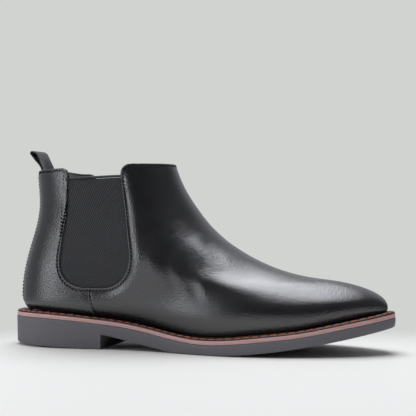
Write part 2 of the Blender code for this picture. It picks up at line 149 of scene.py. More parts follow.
def tread_height(places):
    """Height of the tread under places (x, y): the shank hangs lower towards the inner side."""
    inner = np.clip(places[:, 1] / ARCH_DROP_WIDTH + ARCH_DROP_START, 0, 1)
    arch = (places[:, 0] > BREAST_X) & (places[:, 0] < TREAD_X[0])
    return sole_bottom(places[:, 0]) * np.where(arch, 1 - ARCH_DROP * inner, 1)


def spine(loop, reach=0.86):
    """The middle line under a plan's points, on which its top and bottom close."""
    x = np.clip(loop[:, 0], loop[:, 0].min() * reach, loop[:, 0].max() * reach)
    half = len(loop) // 2
    middle = (loop[:half + 1, 1] + np.append(loop[0, 1], loop[:half - 1:-1, 1])) / 2
    return np.stack([x, np.interp(x, loop[:half + 1, 0], middle)], -1)


def sheet_of(name, points, **kept):
    """A grid laid on rows of points and joined where they meet, with values kept on its points."""
    rows, columns = points.shape[:2]
    bpy.ops.object.select_all(action="DESELECT")
    bpy.ops.mesh.primitive_grid_add(x_subdivisions=columns - 1, y_subdivisions=rows - 1, size=0.1)
    piece = bpy.context.object
    piece.name = piece.data.name = name
    piece.data.vertices.foreach_set("co", points.astype(np.float32).ravel())
    for key, values in kept.items():
        layer = piece.data.attributes.new(key, "FLOAT", "POINT")
        layer.data.foreach_set("value", values.astype(np.float32).ravel())
    bpy.ops.object.mode_set(mode="EDIT")
    bpy.ops.mesh.select_all(action="SELECT")
    bpy.ops.mesh.remove_doubles(threshold=0.001 * MM)
    bpy.ops.mesh.normals_make_consistent(inside=False)
    bpy.ops.object.mode_set(mode="OBJECT")
    return piece


def ringed(name, rings):
    """A closed piece over rings that each come round to their first point."""
    rings = np.array(rings)
    return sheet_of(name, np.concatenate([rings, rings[:, :1]], axis=1))


def layer_of_sole(name, loop, inward, profile, base, close=True):
    """A layer from a plan: rings at (inset, height over base) pairs in mm, closed on the spine."""
    profile = np.array(profile, float) * MM
    rings = [np.column_stack([loop + inward * inset, base(loop[:, 0]) + height])
             for inset, height in profile]
    if close:
        line = spine(loop)
        for at, place in ((0, 0), (-1, len(rings) + 1)):
            height = profile[at][1]
            rings.insert(place, np.column_stack([line, base(line[:, 0]) + height]))
    return ringed(name, rings)


SHARP_EDGE = math.radians(35)


def finish(piece, surface, slot, *nodes, body="boot"):
    """Gives a piece its material, shading, the nodes it stands for and its body; slot is unused."""
    piece.data.materials.clear()
    piece.data.materials.append(surface.material)
    bpy.ops.object.select_all(action="DESELECT")
    piece.select_set(True)
    bpy.context.view_layer.objects.active = piece
    bpy.ops.object.shade_smooth_by_angle(angle=SHARP_EDGE)
    if nodes:
        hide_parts(*nodes)
    if body:
        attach(piece, body)


class Surface:
    """A material being wired: its nodes, its shader and short calls to add to them."""

    def __init__(self, name, colour, roughness, metallic=0.0):
        self.material = bpy.data.materials.new(name)
        self.material.use_nodes = True
        self.nodes, self.links = self.material.node_tree.nodes, self.material.node_tree.links
        self.shader = self.nodes["Principled BSDF"]
        self.shader.inputs["Base Color"].default_value = (*colour, 1)
        self.shader.inputs["Roughness"].default_value = roughness
        self.shader.inputs["Metallic"].default_value = metallic

    def add(self, kind, **settings):
        node = self.nodes.new(kind)
        for key, value in settings.items():
            setattr(node, key, value)
        return node

    def join(self, output, node, key):
        self.links.new(output, node.inputs[key])

    def group(self, tree):
        node = self.add("ShaderNodeGroup", node_tree=tree)
        place = self.add("ShaderNodeTexCoord")
        self.join(place.outputs["Object"], node, "Place")
        return node

    def mottled(self, broad, fine, pebble):
        """Uneven tone and height at these sizes, as repeats in a metre."""
        node = self.group(mottle)
        for key, repeats in (("Broad size", broad), ("Fine size", fine), ("Pebble size", pebble)):
            node.inputs[key].default_value = repeats
        return node

    def ranged(self, value, start, end, low=0.0, high=1.0, **settings):
        """A value stretched from between start and end to between low and high."""
        node = self.add("ShaderNodeMapRange", **settings)
        for key, number in (("From Min", start), ("From Max", end), ("To Min", low), ("To Max", high)):
            node.inputs[key].default_value = number
        self.join(value, node, "Value")
        return node.outputs["Result"]

    def bump(self, height, strength, distance):
        """Relief of this depth in the surface from a height."""
        node = self.add("ShaderNodeBump")
        node.inputs["Strength"].default_value = strength
        node.inputs["Distance"].default_value = distance
        self.join(height, node, "Height")
        self.join(node.outputs["Normal"], self.shader, "Normal")

    def blend(self, first, second, share, key="Base Color"):
        """A colour between two others by a share. It feeds the shader, unless key is None."""
        node = self.add("ShaderNodeMix", data_type="RGBA")
        for end, colour in ((6, first), (7, second)):
            if isinstance(colour, tuple):
                node.inputs[end].default_value = (*colour, 1)
            else:
                self.links.new(colour, node.inputs[end])
        self.links.new(share, node.inputs[0])
        if key:
            self.join(node.outputs[2], self.shader, key)
        return node.outputs[2]


def mottle_group():
    """Uneven tone and height at three scales: Broad patches, Fine specks and raised Pebbles."""
    tree = bpy.data.node_groups.new("mottle", "ShaderNodeTree")
    tree.interface.new_socket("Place", in_out="INPUT", socket_type="NodeSocketVector")
    for name in ("Broad size", "Fine size", "Pebble size"):
        tree.interface.new_socket(name, in_out="INPUT", socket_type="NodeSocketFloat")
    for name in ("Broad", "Fine", "Pebbles"):
        tree.interface.new_socket(name, in_out="OUTPUT", socket_type="NodeSocketFloat")
    start, end = tree.nodes.new("NodeGroupInput"), tree.nodes.new("NodeGroupOutput")
    for kind, size, output in (("ShaderNodeTexNoise", "Broad size", "Broad"),
                               ("ShaderNodeTexNoise", "Fine size", "Fine"),
                               ("ShaderNodeTexVoronoi", "Pebble size", "Pebbles")):
        node = tree.nodes.new(kind)
        tree.links.new(start.outputs["Place"], node.inputs["Vector"])
        tree.links.new(start.outputs[size], node.inputs["Scale"])
        tree.links.new(node.outputs[0], end.inputs[output])
    return tree


mottle = mottle_group()


def mottled_finish(name, colour, roughness, repeats, tone, first, second, relief, strength, depth,
                   metallic=0.0):
    """A material between two colours by one output of the mottle, raised by another."""
    surface = Surface(name, colour, roughness, metallic)
    mottled = surface.mottled(*repeats)
    surface.blend(first, second, mottled.outputs[tone])
    surface.bump(mottled.outputs[relief], strength, depth)
    return surface


rubber = mottled_finish("rubber", (0.085, 0.083, 0.09), 0.7, (60, 1500, 1100),
                        "Fine", (0.108, 0.104, 0.117), (0.195, 0.19, 0.209),
                        "Pebbles", 0.35, 0.3 * MM)

SOLE_STATIONS = 96
TOP_EDGE = [(12, 0), (1, 0), (0.25, -0.15), (0, -0.8), (0.1, -3)]
BOTTOM_EDGE = [(0.4, 1.4), (0.75, 0.5), (1.5, 0.0), (2.6, 0.0), (12, 0)]
breast = [BREAST_X + step for step in BREAST_STEPS]
sole_loop, sole_inward = plan(
    sole_fullness, -SOLE_END, SOLE_END, stations_along(SOLE_STATIONS, (*breast, *TREAD_X)))
line = spine(sole_loop)
rings = [np.column_stack([line, sole_top(line[:, 0])])]
for edge, level in ((TOP_EDGE, sole_top(sole_loop[:, 0])), (BOTTOM_EDGE, tread_height(sole_loop))):
    for inset, height in edge:
        rings.append(np.column_stack([sole_loop + sole_inward * inset * MM, level + height * MM]))
rings.append(np.column_stack([line, tread_height(line)]))
outsole = ringed("rubber_outsole", rings)
finish(outsole, rubber, "rubber", "outsole")

# Midsole --------------------------------------------------------------
# A 3 mm layer of reddish stacked leather all round, its edge sanded and waxed. It is glued between
# the outsole and the welt, and the edge shows fine level streaks.

GLUE_LINE, MIDSOLE_THICKNESS = 0.35 * MM, 3.0 * MM


def midsole_top(x):
    return sole_top(x) + GLUE_LINE + MIDSOLE_THICKNESS


def streak_group():
    """Layers of stacked leather: thin streaks along the edge, drawn out level."""
    tree = bpy.data.node_groups.new("streaks", "ShaderNodeTree")
    tree.interface.new_socket("Place", in_out="INPUT", socket_type="NodeSocketVector")
    tree.interface.new_socket("Streaks", in_out="OUTPUT", socket_type="NodeSocketFloat")
    start, end = tree.nodes.new("NodeGroupInput"), tree.nodes.new("NodeGroupOutput")
    stretch, layers = tree.nodes.new("ShaderNodeMapping"), tree.nodes.new("ShaderNodeTexNoise")
    stretch.inputs["Scale"].default_value = (30, 30, 1500)
    layers.inputs["Scale"].default_value = 1.0
    layers.inputs["Detail"].default_value = 4.0
    tree.links.new(start.outputs["Place"], stretch.inputs["Vector"])
    tree.links.new(stretch.outputs["Vector"], layers.inputs["Vector"])
    tree.links.new(layers.outputs[0], end.inputs["Streaks"])
    return tree


edge_leather = Surface("edge_leather", (0.32, 0.2, 0.19), 0.55)
streaks = edge_leather.group(streak_group())
edge_leather.blend((0.46, 0.262, 0.25), (0.74, 0.47, 0.45), streaks.outputs["Streaks"])
edge_leather.bump(streaks.outputs["Streaks"], 0.3, 0.2 * MM)

MIDSOLE_SECTION = [(10, 0.1), (1.2, 0.1), (0.55, 0.2), (0.3, 0.6), (0.25, 1.6), (0.3, 2.8),
                   (0.6, 3.2), (1.2, 3.3), (10, 3.3)]
midsole = layer_of_sole("leather_midsole", sole_loop, sole_inward, MIDSOLE_SECTION, sole_top)
finish(midsole, edge_leather, "edge_leather", "midsole")

# Welt and its stitching -----------------------------------------------
# A black leather strip round the whole sole: a low outer lip, a groove, and an inner part that the
# upper is sewn to. One row of thick orange-brown waxed thread lies in the groove.

welt_leather = mottled_finish("welt_leather", (0.03, 0.028, 0.029), 0.5, (300, 1800, 1500),
                              "Fine", (0.006, 0.006, 0.0065), (0.03, 0.028, 0.027),
                              "Pebbles", 0.3, 0.15 * MM)

WELT_GLUE = 0.05 * MM
WELT_SECTION = [(9.5, 0.05), (1.0, 0.05), (0.6, 0.25), (0.6, 0.6), (0.85, 0.85), (1.3, 0.85),
                (1.6, 0.5), (2.6, 0.5), (3.4, 1.2), (4.0, 1.35), (4.8, 1.2), (9.5, 1.1), (9.5, 0.05)]
welt = layer_of_sole("storm_welt", sole_loop, sole_inward, WELT_SECTION,
                     lambda x: midsole_top(x) + WELT_GLUE, close=False)
finish(welt, welt_leather, "welt_leather", "welt")

thread = mottled_finish("waxed_thread", (0.4, 0.12, 0.035), 0.55, (250, 2500, 1800),
                        "Broad", (0.36, 0.085, 0.035), (0.8, 0.21, 0.08),
                        "Fine", 0.4, 0.1 * MM)


def lengths_along(points):
    """How far along a line of points each of them lies."""
    return np.concatenate([[0], np.cumsum(np.linalg.norm(np.diff(points, axis=0), axis=1))])


def even_places(points, pitch):
    """Points at an even pitch along a line, with their directions and their shares of its length."""
    lengths = lengths_along(points)
    count = max(2, round(lengths[-1] / pitch))
    marks = (np.arange(count) + 0.5) / count * lengths[-1]
    step = pitch / 8

    def at(mark):
        return np.stack([np.interp(mark, lengths, points[:, k]) for k in range(3)], -1)

    direction = at(marks + step) - at(marks - step)
    return at(marks), direction / np.linalg.norm(direction, axis=1, keepdims=True), marks / lengths[-1]


def stitch_row(name, places, directions, outward, length, thickness, lean=0.0):
    """One stitch, a short round bar with domed ends, copied to each place as a single piece."""
    bpy.ops.object.select_all(action="DESELECT")
    bpy.ops.mesh.primitive_uv_sphere_add(segments=8, ring_count=6, radius=thickness / 2,
                                         rotation=(0, math.pi / 2, 0))
    stitch = bpy.context.object
    bpy.ops.object.transform_apply(location=False, rotation=True, scale=False)
    shape = np.array([v.co for v in stitch.data.vertices])
    faces = np.array([list(p.vertices) + [-1] * (4 - len(p.vertices)) for p in stitch.data.polygons])
    bpy.data.objects.remove(stitch)
    shape[:, 0] += np.sign(np.round(shape[:, 0], 7)) * (length - thickness) / 2
    across = np.cross(outward, directions)
    across /= np.linalg.norm(across, axis=1, keepdims=True)
    raised = np.cross(directions, across)
    turned = directions * math.cos(lean) + across * math.sin(lean)
    across = np.cross(raised, turned)
    points = (places[:, None] + shape[None, :, :1] * turned[:, None]
              + shape[None, :, 1:2] * across[:, None] + shape[None, :, 2:] * raised[:, None])
    offsets = np.arange(len(places)) * len(shape)
    copies = [tuple(int(v) + int(o) for v in face if v >= 0) for o in offsets for face in faces]
    mesh = bpy.data.meshes.new(name)
    mesh.from_pydata([tuple(p) for p in points.reshape(-1, 3)], [], copies)
    row = bpy.data.objects.new(name, mesh)
    bpy.context.collection.objects.link(row)
    return row


GROOVE_INSET, GROOVE_HEIGHT = 2.5 * MM, 1.0 * MM
WELT_PITCH, WELT_STITCH, WELT_THREAD, WELT_LEAN = 6.8 * MM, 5.0 * MM, 1.1 * MM, 0.06
groove = np.column_stack([sole_loop + sole_inward * GROOVE_INSET,
                          midsole_top(sole_loop[:, 0]) + GROOVE_HEIGHT])
places, directions, _ = even_places(np.concatenate([groove, groove[:1]]), WELT_PITCH)
sideways = np.cross(directions, [0, 0, 1])
outward = sideways / np.linalg.norm(sideways, axis=1, keepdims=True) + np.array([0, 0, 1.2])
welt_stitches = stitch_row("welt_stitches", places, directions, outward, WELT_STITCH, WELT_THREAD,
                           lean=WELT_LEAN)
finish(welt_stitches, thread, "thread", "welt_thread")

# Vamp -----------------------------------------------------------------
# One cut of black calf that wraps the whole front of the foot, from side seam to side seam. Its top
# and gore edges are stitched close, it laps over the quarters, and walking has creased the instep.

# The upper's pieces all lie on one lasted form. A place on it is an angle, 0 at the back seam and pi
# at the ridge over the foot, and a height, 0 at the welt and 1 over the topline. The profiles are
# (x, z) in mm, and each row of widths is one ring, at the stations of the sole.
BACK_PROFILE = [(-144.3, 29.5), (-147.2, 33), (-148.6, 41), (-146.6, 59), (-141.2, 79), (-135.2, 99),
                (-133.2, 113), (-133.8, 127), (-135.4, 145)]
RIDGE_PROFILE = [(146.8, 31.5), (148.4, 34.5), (147.7, 39.2), (143, 44.2), (133.5, 48.9), (122, 52.3),
                 (110, 54.5), (92.5, 56.4), (75.3, 59.5), (57.3, 65.1), (39.3, 73.5), (21.3, 85),
                 (7.5, 97.8), (-6.2, 115.5), (-16.2, 132), (-22.5, 148)]
RING_HEIGHTS = (0, 0.04, 0.12, 0.3, 0.5, 0.75, 1)
RING_WIDTHS = [
    (16, 26, 27.5, 30, 41.5, 43, 32, 16.5),
    (18.5, 28.8, 31, 33.5, 44.5, 46.3, 35, 20),
    (19, 29.5, 32.5, 35, 43, 45.3, 33, 18),
    (18, 28, 33, 36, 40, 40, 28, 14.5),
    (15.5, 24.5, 32, 36, 38, 36.5, 29, 17),
    (14, 23, 31, 34, 34, 32.5, 26, 16),
    (12.5, 21.5, 29, 31.5, 32, 31, 25, 16),
]
WELT_TOP_OVER_MIDSOLE, FOOT_FADE = 1.2 * MM, 6


def by_length(points):
    """The smooth line through points in mm, as a function of the share of its length."""
    points = np.array(points, float) * MM
    along = lengths_along(points)
    return spline(along / along[-1], points)


back_line, ridge_line = by_length(BACK_PROFILE), by_length(RIDGE_PROFILE)
ring_fullness = fullness(np.array(RING_WIDTHS, float).T)
ring_share = spline(RING_HEIGHTS, np.eye(len(RING_HEIGHTS)))


def side_view(s, height):
    """(x, z) of the form at a station s, 0 at the back and 1 at the ridge."""
    back, ridge = back_line(height), ridge_line(height)
    foot_back, foot_ridge = back_line(0), ridge_line(0)
    x, z = mixed(back[..., 0], ridge[..., 0], s), mixed(back[..., 1], ridge[..., 1], s)
    foot_x, foot_z = mixed(foot_back[0], foot_ridge[0], s), mixed(foot_back[1], foot_ridge[1], s)
    to_welt = midsole_top(foot_x) + WELT_TOP_OVER_MIDSOLE - foot_z
    return x, z + to_welt * (1 - height) ** FOOT_FADE


def form(angle, height):
    """The points of the form at these places."""
    angle, height = np.broadcast_arrays(np.asarray(angle, float), np.asarray(height, float))
    s = (1 - np.cos(angle)) / 2
    x, z = side_view(s, height)
    width = (ring_fullness(s) * ring_share(height)).sum(-1) * np.abs(np.sin(angle))
    y = np.where(np.sin(angle) > 0, -width, width * inner_side(s, height))
    return np.stack([x, y, z], -1)


def form_normal(angle, height):
    tiny = 1e-4
    around = form(angle + tiny, height) - form(angle - tiny, height)
    up = form(angle, height + tiny) - form(angle, height - tiny)
    normal = np.cross(around, up)
    return normal / np.linalg.norm(normal, axis=-1, keepdims=True)


def place_of(points):
    """Angle and height of (x, z) points in mm seen from the side, on the outer half."""
    x, z = np.array(points, float).T * MM
    s, height = np.clip((x + 0.14) / 0.2, 0.02, 0.9), np.clip((z - 0.03) / 0.115, 0.02, 0.98)
    tiny = 1e-5
    for _ in range(30):
        here, right = side_view(s, height), side_view(s + tiny, height)
        up = side_view(s, height + tiny)
        a, b = (right[0] - here[0]) / tiny, (up[0] - here[0]) / tiny
        c, d = (right[1] - here[1]) / tiny, (up[1] - here[1]) / tiny
        miss_x, miss_z, turn = x - here[0], z - here[1], a * d - b * c
        s = np.clip(s + np.clip((miss_x * d - miss_z * b) / turn, -0.1, 0.1), 1e-6, 1 - 1e-6)
        height = np.clip(height + np.clip((miss_z * a - miss_x * c) / turn, -0.1, 0.1), -0.05, 1.05)
    return np.arccos(1 - 2 * s), height


def height_on(angle, line):
    """The height at which the form meets the line z(x), in metres, at each angle."""
    s, height, tiny = (1 - np.cos(angle)) / 2, np.full(np.shape(angle), 0.95), 1e-5
    for _ in range(20):
        (x, z), (x2, z2) = side_view(s, height), side_view(s, height + tiny)
        miss, miss2 = z - line(x), z2 - line(x2)
        height = np.clip(height - miss * tiny / (miss2 - miss), 0, 1.1)
    return height


def rounded(corners, steps=10):
    """Corners (x, z, radius) of an open line in mm, with the inner ones rounded."""
    line = [np.array(corners[0][:2], float)]
    for before, here, after in zip(corners, corners[1:], corners[2:]):
        radius, here = here[2], np.array(here[:2], float)
        to_before, to_after = (np.array(p[:2], float) - here for p in (before, after))
        to_before, to_after = to_before / np.linalg.norm(to_before), to_after / np.linalg.norm(to_after)
        if radius == 0:
            line.append(here)
            continue
        half = math.acos(np.clip(to_before @ to_after, -1, 1)) / 2
        halfway = (to_before + to_after) / np.linalg.norm(to_before + to_after)
        middle = here + halfway * radius / math.sin(half)
        start = here + to_before * radius / math.tan(half) - middle
        end = here + to_after * radius / math.tan(half) - middle
        turn = math.acos(np.clip(start @ end / radius ** 2, -1, 1))
        for t in np.linspace(0, 1, steps + 1):
            spoke = math.sin((1 - t) * turn) * start + math.sin(t * turn) * end
            line.append(middle + spoke / math.sin(turn))
    line.append(np.array(corners[-1][:2], float))
    return np.array(line)


def evened(points, spacing):
    """More points along an open line, at about this spacing."""
    along = lengths_along(points)
    marks = np.linspace(0, along[-1], max(2, int(along[-1] / spacing)))
    return np.stack([np.interp(marks, along, points[:, k]) for k in range(points.shape[1])], -1)


def marks_from_edge(total, count, near):
    """Distances from 0 to total: the near ones first, then even steps."""
    near = np.array([d for d in near if d < total * 0.4])
    return np.concatenate([near, np.linspace(near[-1], total, count - len(near) + 1)[1:]])


def picked(places, marks):
    """The places at these distances along a line of them, and the line's whole length."""
    along = lengths_along(form(places[:, 0], places[:, 1]))
    return np.stack([np.interp(marks, along, places[:, k]) for k in (0, 1)], -1), along[-1]


EDGE_STEPS = np.array([0, 0.1, 0.3, 0.6, 1.0, 1.5, 2.0, 2.6, 3.5, 5.0]) * MM
FOOT_STEPS = np.array([0, 0.4, 0.9, 1.6, 2.5, 4.0]) * MM


def ruled(bottom, top, columns, rows, near_end=False):
    """A net of places between two lines: columns even along both, rows set from both edges."""
    ends = []
    for line_places in (bottom, top):
        total = picked(line_places, np.zeros(1))[1]
        marks = marks_from_edge(total, columns, EDGE_STEPS)
        ends.append(picked(line_places, total - marks[::-1] if near_end else marks)[0])
    net = np.empty((rows, columns, 2))
    for j in range(columns):
        column = mixed(ends[0][j], ends[1][j], np.linspace(0, 1, 200)[:, None])
        total = picked(column, np.zeros(1))[1]
        low = FOOT_STEPS[FOOT_STEPS < total * 0.3]
        high = EDGE_STEPS[EDGE_STEPS < total * 0.4]
        low = np.interp(np.linspace(0, 1, len(FOOT_STEPS)), np.linspace(0, 1, len(low)), low)
        high = np.interp(np.linspace(0, 1, len(EDGE_STEPS)), np.linspace(0, 1, len(high)), high)
        middle = np.linspace(low[-1], total - high[-1], rows - len(low) - len(high) + 2)[1:-1]
        net[:, j] = picked(column, np.concatenate([low, middle, total - high[::-1]]))[0]
    return net


def edge_distance(points, edge):
    """Distance from each point to a line of points."""
    edge = evened(edge, 0.25 * MM)
    tree = kdtree.KDTree(len(edge))
    for i, point in enumerate(edge):
        tree.insert(point, i)
    tree.balance()
    return np.array([tree.find(p)[2] for p in points.reshape(-1, 3)]).reshape(points.shape[:-1])


def wall_piece(name, net, depths, lift=0.0, round_radius=0.7 * MM):
    """A closed wall over a net between two depths, with round edges.

    Its points keep their distance from the edge and their lift, in mm, for the materials."""
    points, normals = form(net[..., 0], net[..., 1]), form_normal(net[..., 0], net[..., 1])
    border = np.concatenate([points[0], points[1:, -1], points[-1, -2::-1], points[-2::-1, 0]])
    distance = edge_distance(points, border)
    distance[0] = distance[-1] = distance[:, 0] = distance[:, -1] = 0
    full = np.sqrt(1 - (1 - np.clip(distance / round_radius, 0, 1)) ** 2)
    middle = (depths[0] + depths[1]) / 2
    outer, inner = (points + normals * (middle + (depth - middle) * full + lift)[..., None]
                    for depth in depths)
    both = np.concatenate([outer, inner[-2::-1]])
    raised = distance * 0 + lift
    return sheet_of(name, both, edge_distance=np.concatenate([distance, distance[-2::-1]]) / MM,
                    raised=np.concatenate([raised, raised[-2::-1]]) / MM)


def mirrored(net):
    """The same net on the inner half of the form, so that its columns still run outwards."""
    other = net[:, ::-1].copy()
    other[..., 0] = 2 * math.pi - other[..., 0]
    return other


def along_foot(first, last):
    """Places along the welt from one angle to another."""
    angles = np.linspace(first, last, 400)
    return np.stack([angles, 0 * angles], -1)


def foot_angle(x):
    """The angle at which the form's foot is at x."""
    return math.acos(1 - 2 * (x - back_line(0)[0]) / (ridge_line(0)[0] - back_line(0)[0]))


# Corners are (x, z, radius) in mm.
VAMP_TOP, LINE_STEP = 145.0, 0.5
SEAM_TOP, GORE_FRONT = (-81.5, 47.6, 0), [(-45.3, 47.6, 24), (-45.8, 78, 20)]
VAMP_SEAM_FOOT_X = -77.9 * MM
vamp_line = rounded([SEAM_TOP, *GORE_FRONT, (-56, VAMP_TOP, 8), (-40, VAMP_TOP, 0)])[:-1]
vamp_places = np.stack(place_of(evened(vamp_line, LINE_STEP)), -1)
over_ridge = np.linspace(vamp_places[-1, 0], math.pi, 60)[1:]
vamp_top_places = np.concatenate([vamp_places, np.stack(
    [over_ridge, height_on(over_ridge, lambda x: VAMP_TOP * MM + 0 * x)], -1)])
vamp_foot_places = along_foot(foot_angle(VAMP_SEAM_FOOT_X), math.pi)
vamp_half = ruled(vamp_foot_places, vamp_top_places, 92, 104)
vamp_net = np.concatenate([vamp_half, mirrored(vamp_half)[:, 1:]], axis=1)


def smoothed(t):
    """An even step from 0 to 1."""
    t = np.clip(t, 0, 1)
    return t * t * (3 - 2 * t)


STITCH_INSET, STITCH_DIP, STITCH_FURROW, DIP_FADE = 1.9 * MM, 0.3 * MM, 0.6 * MM, 6 * MM
FOOT_TUCK, FOOT_TUCK_REACH = 1.1 * MM, 2.2 * MM


def stitched_edge(away, below):
    """Lift of the leather beside a stitched edge, where the thread pulls it down."""
    furrow = np.exp(-((away - STITCH_INSET) / STITCH_FURROW) ** 2)
    return -STITCH_DIP * furrow * smoothed(below / DIP_FADE)


def tucked_foot(below):
    """Lift of the leather at its foot, where it turns in to the welt."""
    return -FOOT_TUCK * (1 - np.clip(below / FOOT_TUCK_REACH, 0, 1)) ** 2


points = form(vamp_net[..., 0], vamp_net[..., 1])
below, top = edge_distance(points, points[0]), edge_distance(points, points[-1])
seams = np.minimum(edge_distance(points, points[:, 0]), edge_distance(points, points[:, -1]))
# Each crease: x, z, reach and width in mm, slant in radians, and height in mm.
CREASES = [(9, 92, 9, 2.4, 0.5, 0.14), (15, 83, 10, 2.6, 0.35, -0.16), (22, 77, 11, 2.4, 0.5, 0.14),
           (25, 70, 10, 2.5, 0.15, -0.16), (33, 69, 10, 2.3, 0.3, 0.12), (3, 76, 9, 2.8, 0.8, -0.14),
           (-12, 58, 12, 4, 1.2, -0.4), (-25, 66, 10, 5, 1.3, 0.35), (8, 48, 8, 4, 1.1, -0.45),
           (16, 50, 9, 4, 1.1, 0.4)]
FLEX_X, FLEX_Z, FLEX_REACH_X, FLEX_REACH_Z, FLEX_HEIGHT = 12, 74, 26, 24, 0.36 * MM
creasing = np.zeros(points.shape[:-1])
for x, z, reach, width, slant, height in CREASES:
    away_x, away_z = points[..., 0] / MM - x, points[..., 2] / MM - z
    along = away_x * math.cos(slant) - away_z * math.sin(slant)
    across = away_x * math.sin(slant) + away_z * math.cos(slant)
    creasing += height * MM * np.exp(-(along / reach) ** 2 - (across / width) ** 2)
flexed = np.exp(-((points[..., 0] / MM - FLEX_X) / FLEX_REACH_X) ** 2
                - ((points[..., 2] / MM - FLEX_Z) / FLEX_REACH_Z) ** 2)
lumps = np.array([[noise.noise(Vector(p) * 85) + 0.3 * noise.noise(Vector(p) * 230) for p in row]
                  for row in points])
creasing += FLEX_HEIGHT * flexed * lumps

# The leather swells a little beside the gore, and flattens again towards the toe.
SWELL, SWELL_START, SWELL_REACH, SWELL_END = 1.9 * MM, 1.5 * MM, 8 * MM, 42 * MM
SWELL_RISE, COLLAR_Z = 14 * MM, 134 * MM
beside_gore = edge_distance(points, points[-1][points[-1][:, 2] < COLLAR_Z])
swollen = 1 - (1 - np.clip((beside_gore - SWELL_START) / SWELL_REACH, 0, 1)) ** 2
swollen *= 1 - smoothed((beside_gore - SWELL_REACH) / SWELL_END)
vamp_lift = creasing + SWELL * swollen * smoothed(below / SWELL_RISE)
vamp_lift += stitched_edge(np.minimum(top, seams), below) + tucked_foot(below)
vamp_top, vamp_seams = top, seams

leather = Surface("black_leather", (0.012, 0.0125, 0.015), 0.3)
leather.shader.inputs["Specular IOR Level"].default_value = 0.95
grain = leather.mottled(90.0, 420.0, 850.0)
# Within 0.3 to 0.8 mm of every cut edge the leather turns lighter grey: partly the bare cut edge,
# partly a painted highlight where the rounded edge catches the light.
edge = leather.add("ShaderNodeAttribute", attribute_name="edge_distance")
cut_edge_and_highlight = leather.ranged(edge.outputs["Fac"], 0.3, 0.8)
body_colour = leather.blend((0.005, 0.0053, 0.0072), (0.01, 0.0104, 0.0135),
                            grain.outputs["Broad"], key=None)
leather.blend((0.06, 0.06, 0.064), body_colour, cut_edge_and_highlight)
heights = leather.add("ShaderNodeMath", operation="ADD")
fine = leather.add("ShaderNodeMath", operation="MULTIPLY")
fine.inputs[1].default_value = 0.55
leather.join(grain.outputs["Fine"], fine, 0)
leather.join(fine.outputs[0], heights, 0)
leather.join(grain.outputs["Pebbles"], heights, 1)
leather.bump(heights.outputs[0], 0.42, 0.4 * MM)
leather.shader.inputs["Coat Weight"].default_value = 0.25
leather.shader.inputs["Coat Roughness"].default_value = 0.28
leather.join(leather.ranged(grain.outputs["Broad"], 0, 1, 0.2, 0.3), leather.shader, "Roughness")

LEATHER = (0.0, -1.4 * MM)
vamp = wall_piece("vamp_leather", vamp_net, LEATHER, vamp_lift)
finish(vamp, leather, "black_leather", "vamp")

# Quarters -------------------------------------------------------------
# Two cuts of the same leather round the heel, one each side, closed on the back seam. Their front
# edges frame the gore and run under the vamp at the side seam.

REAR_X, REAR_Z, FRONT_X, FRONT_Z = -135.0, 140.2, -99.2, 142.2
GORE_REAR = [(-106.6, 72, 20), (-106.4, 47.6, 20)]
SEAM_GAP, BACK_GAP_ANGLE, QUARTER_SEAM_FOOT_X = 0.4, 0.006, -78.3 * MM
quarter_line = rounded([(-104, 141.93, 0), (FRONT_X, FRONT_Z, 4.5), *GORE_REAR,
                        (SEAM_TOP[0] - SEAM_GAP, SEAM_TOP[1], 0)])[1:]
quarter_places = np.stack(place_of(evened(quarter_line, LINE_STEP)), -1)
topline = np.linspace(BACK_GAP_ANGLE, quarter_places[0, 0], 70)[:-1]
top_slope = (FRONT_Z - REAR_Z) / (FRONT_X - REAR_X)
top_places = np.stack(
    [topline, height_on(topline, lambda x: REAR_Z * MM + (x - REAR_X * MM) * top_slope)], -1)
quarter_top_places = np.concatenate([top_places, quarter_places])
quarter_foot_places = along_foot(BACK_GAP_ANGLE, foot_angle(QUARTER_SEAM_FOOT_X))
quarter_net = ruled(quarter_foot_places, quarter_top_places, 90, 74, near_end=True)
CORNER_DROP, CORNER_REAR_X, CORNER_REACH = 0.024, -128 * MM, 20 * MM
LAP_DIP, LAP_REACH, LAP_FADE = 0.45 * MM, 5 * MM, 6 * MM


def on_inner_side(net):
    """A quarter's net on the inner half, with its front corner a little lower than the outer one."""
    net = mirrored(net)
    forward = smoothed((form(net[..., 0], net[..., 1])[..., 0] - CORNER_REAR_X) / CORNER_REACH)
    net[..., 1] -= CORNER_DROP * forward * smoothed(net[..., 1] * 3 - 2)
    return net


quarter_rows = []
for side, node, net, front_column in (("outer", "quarter_lateral", quarter_net, -1),
                                      ("inner", "quarter_medial", on_inner_side(quarter_net), 0)):
    points = form(net[..., 0], net[..., 1])
    below, top = edge_distance(points, points[0]), edge_distance(points, points[-1])
    front = edge_distance(points, points[:, front_column])
    lift = stitched_edge(top, below) + tucked_foot(below)
    lift -= LAP_DIP * (1 - smoothed(front / LAP_REACH)) * smoothed(top / LAP_FADE)
    finish(wall_piece(f"quarter_leather_{side}", net, LEATHER, lift), leather, "black_leather", node)
    quarter_rows.append((side, net, top, lift))

# Gores and their bindings ---------------------------------------------
# Ribbed black elastic in a U on each side, tucked 5 mm under the leather. The ribs lean forward
# towards the top, and a smooth bound edge finishes it just under the collar.

